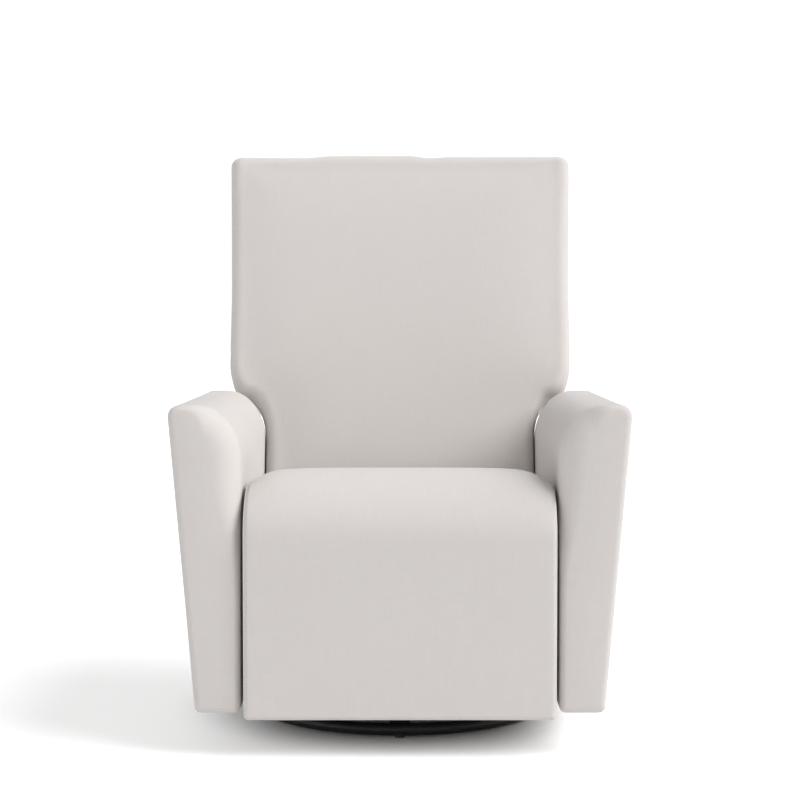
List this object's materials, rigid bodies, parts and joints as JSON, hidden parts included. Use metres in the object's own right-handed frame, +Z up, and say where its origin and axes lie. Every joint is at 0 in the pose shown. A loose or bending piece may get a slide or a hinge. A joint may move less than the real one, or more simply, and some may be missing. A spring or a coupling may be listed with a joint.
{
  "type": "swivel glider recliner chair",
  "caption": "Upholstered nursery chair that swivels on a round floor ring, glides on hanging links, reclines, and raises a leg rest joined to the seat by a waterfall front.",
  "frame": {"origin": "on the floor, on the swivel axis, at the middle of the box's bottom", "axes": "+X to the right as seen from the front, -Y to the front, +Z up"},
  "size_m": [0.78, 0.9001, 1.0901],
  "materials": {
    "ivory_fabric": "woven",
    "black_steel": "satin",
    "zinc_steel": "satin",
    "spring_steel": "satin",
    "plywood": "raw",
    "black_plastic": "matte",
    "button_plastic": "matte",
    "nylon": "matte"
  },
  "bodies": {
    "base": {"base_ring": "black_steel", "base_cross": "black_steel", "hub_plate": "black_steel", "bearing_race": "zinc_steel", "swivel_bolt": "zinc_steel", "floor_glides": "nylon"},
    "turntable": {"swivel_plate": "black_steel", "glide_base_frame": "black_steel", "glide_uprights_right": "black_steel", "glide_uprights_left": "black_steel", "glide_top_pins": "zinc_steel"},
    "front_glide_links": {"front_glide_link_right": "black_steel", "front_glide_link_left": "black_steel"},
    "rear_glide_links": {"rear_glide_link_right": "black_steel", "rear_glide_link_left": "black_steel"},
    "chair": {"mechanism_plate_right": "black_steel", "mechanism_plate_left": "black_steel", "glide_bottom_pins": "zinc_steel", "mechanism_cross_tubes": "black_steel", "seat_rail_right": "plywood", "seat_rail_left": "plywood", "seat_rail_front": "plywood", "seat_rail_rear": "plywood", "seat_springs": "spring_steel", "arm_brackets": "black_steel", "arm_frame_right": "plywood", "arm_frame_left": "plywood", "arm_right": "ivory_fabric", "arm_left": "ivory_fabric", "control_panel": "black_plastic", "seat_cushion": "ivory_fabric", "leg_actuator_rail": "zinc_steel", "leg_actuator_motor": "black_plastic", "leg_rail_hanger": "black_steel", "back_actuator_rail": "zinc_steel", "back_actuator_motor": "black_plastic", "rear_panel": "ivory_fabric", "power_inlet": "black_plastic"},
    "back": {"back_cushion": "ivory_fabric", "back_cover": "ivory_fabric", "back_frame": "plywood", "back_springs": "spring_steel", "back_bracket_right": "black_steel", "back_bracket_left": "black_steel", "back_torque_tube": "black_steel"},
    "leg_rest": {"legrest_cushion": "ivory_fabric", "legrest_board": "plywood", "legrest_bracket_right": "black_steel", "legrest_bracket_left": "black_steel"},
    "drive_arms": {"leg_torque_tube": "black_steel", "drive_arm_right": "black_steel", "drive_arm_left": "black_steel"},
    "support_links": {"support_link_right": "black_steel", "support_link_left": "black_steel"},
    "leg_nut": {"leg_shuttle": "nylon"},
    "back_nut": {"back_shuttle": "nylon"},
    "legs_up_button": {"button_legs_up": "button_plastic"},
    "legs_down_button": {"button_legs_down": "button_plastic"},
    "back_up_button": {"button_back_up": "button_plastic"},
    "back_down_button": {"button_back_down": "button_plastic"}
  },
  "joints": [
    {"name": "swivel", "type": "hinge", "parent": "base", "child": "turntable", "pos_m": [0, 0, 0], "axis": [0, 0, 1], "continuous": true},
    {"name": "glide", "type": "hinge", "parent": "turntable", "child": "front_glide_links", "pos_m": [0, -0.16, 0.29], "axis": [-1, 0, 0], "range_deg": [-21, 21]},
    {"name": "glide_chair_pivot", "type": "hinge", "parent": "front_glide_links", "child": "chair", "pos_m": [0, -0.16, 0.14], "axis": [-1, 0, 0], "range_deg": [-21, 21]},
    {"name": "glide_rear_links", "type": "hinge", "parent": "turntable", "child": "rear_glide_links", "pos_m": [0, 0.09, 0.29], "axis": [-1, 0, 0], "range_deg": [-21, 21]},
    {"name": "recline", "type": "hinge", "parent": "chair", "child": "back", "pos_m": [0, 0.15, 0.352], "axis": [-1, 0, 0], "range_deg": [0, 35]},
    {"name": "leg_rest_swing", "type": "hinge", "parent": "chair", "child": "leg_rest", "pos_m": [0, -0.42635, 0.46035], "axis": [-1, 0, 0], "range_deg": [0, 85]},
    {"name": "drive_arm_pivot", "type": "hinge", "parent": "chair", "child": "drive_arms", "pos_m": [0, -0.2, 0.325], "axis": [-1, 0, 0], "range_deg": [0, 85]},
    {"name": "elbow", "type": "hinge", "parent": "drive_arms", "child": "support_links", "pos_m": [0, -0.109, 0.115], "axis": [-1, 0, 0], "range_deg": [-85, 0]},
    {"name": "leg_nut_slide", "type": "slide", "parent": "chair", "child": "leg_nut", "axis": [0, -1, 0], "range_m": [0, 0.07433]},
    {"name": "back_nut_slide", "type": "slide", "parent": "chair", "child": "back_nut", "axis": [0, -1, 0], "range_m": [0, 0.05737]},
    {"name": "legs_up_press", "type": "slide", "parent": "chair", "child": "legs_up_button", "axis": [0.9952, 0, 0.0981], "range_m": [0, 0.002], "stiffness_N_per_m": 400, "springref_m": -0.001},
    {"name": "legs_down_press", "type": "slide", "parent": "chair", "child": "legs_down_button", "axis": [0.9952, 0, 0.0981], "range_m": [0, 0.002], "stiffness_N_per_m": 400, "springref_m": -0.001},
    {"name": "back_up_press", "type": "slide", "parent": "chair", "child": "back_up_button", "axis": [0.9952, 0, 0.0981], "range_m": [0, 0.002], "stiffness_N_per_m": 400, "springref_m": -0.001},
    {"name": "back_down_press", "type": "slide", "parent": "chair", "child": "back_down_button", "axis": [0.9952, 0, 0.0981], "range_m": [0, 0.002], "stiffness_N_per_m": 400, "springref_m": -0.001}
  ],
  "couplings": [
    {"joint": "glide_chair_pivot", "follows": "glide", "ratio": -1},
    {"joint": "glide_rear_links", "follows": "glide", "ratio": 1},
    {"joint": "drive_arm_pivot", "follows": "leg_rest_swing", "ratio": 1},
    {"joint": "elbow", "follows": "leg_rest_swing", "ratio": -1},
    {"joint": "leg_nut_slide", "follows": "leg_rest_swing", "m_per_rad": 0.050093},
    {"joint": "back_nut_slide", "follows": "recline", "m_per_rad": 0.093896}
  ]
}
